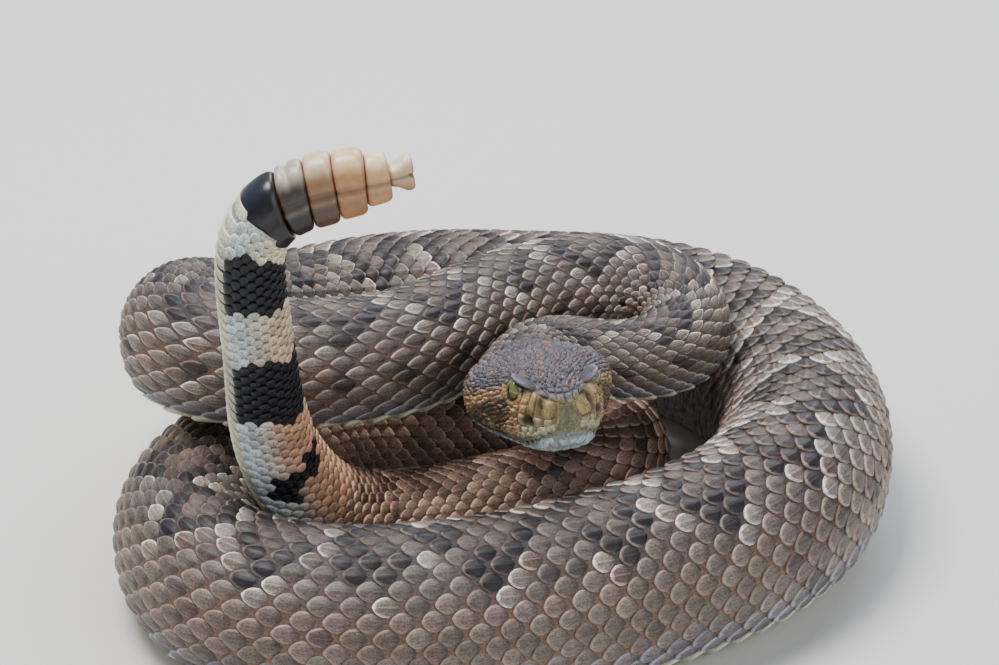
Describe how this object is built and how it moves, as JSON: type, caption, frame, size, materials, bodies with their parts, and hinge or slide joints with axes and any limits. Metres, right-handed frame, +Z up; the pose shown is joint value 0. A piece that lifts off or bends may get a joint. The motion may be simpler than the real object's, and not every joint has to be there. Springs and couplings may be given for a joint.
{
  "type": "western diamondback rattlesnake, still life-size model",
  "caption": "Coiled rattlesnake as a still life-size model, head lifted over the coil and rattle raised, resting on its belly.",
  "frame": {"origin": "centre of the whole model's box, at floor level", "axes": "+Z up; the viewer of the picture looks along +Y, so the head points toward -Y and a little toward +X; +X is the viewer's right"},
  "size_m": [0.2231, 0.2177, 0.151],
  "materials": {
    "snake_hide": "satin keeled scales",
    "crown_scales": "satin granular scales",
    "lip_scales": "satin smooth plates",
    "iris": "wet gloss",
    "black_tail_scales": "satin keeled scales",
    "rattle_horn": "satin horn"
  },
  "bodies": {
    "root": {"head": "crown_scales", "lower_jaw": "lip_scales", "eye_left": "iris", "eye_right": "iris", "neck": "snake_hide", "body_01": "snake_hide", "body_02": "snake_hide", "body_03": "snake_hide", "body_04": "snake_hide", "body_05": "snake_hide", "body_06": "snake_hide", "body_07": "snake_hide", "body_08": "snake_hide", "body_09": "snake_hide", "body_10": "snake_hide", "body_11": "snake_hide", "body_12": "snake_hide", "body_13": "snake_hide", "body_14": "snake_hide", "body_15": "snake_hide", "tail_base": "snake_hide", "tail_tip": "black_tail_scales", "rattle": "rattle_horn"}
  },
  "joints": []
}
